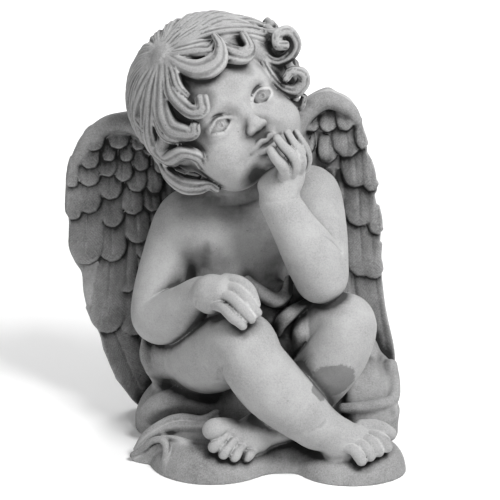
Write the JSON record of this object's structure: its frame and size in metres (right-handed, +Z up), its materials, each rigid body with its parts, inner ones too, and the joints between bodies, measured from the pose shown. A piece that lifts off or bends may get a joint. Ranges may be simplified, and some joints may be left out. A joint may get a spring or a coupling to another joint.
{
  "type": "cherub statue",
  "caption": "Seated winged cherub cast in stone, legs crossed on a draped mound, cheek resting on one hand, the other hand on a knee",
  "frame": {"origin": "centre of the bounding box of the statue, at its flat underside", "axes": "+Z up, the figure faces -Y, +X is the figure's own left"},
  "size_m": [0.2992, 0.1976, 0.3762],
  "materials": {
    "cast_stone": "weathered grey cast stone, matt, with fine pores, pale worn ridges and dark dirt in the recesses"
  },
  "bodies": {
    "root": {"cherub_statue": "cast_stone"}
  },
  "joints": []
}
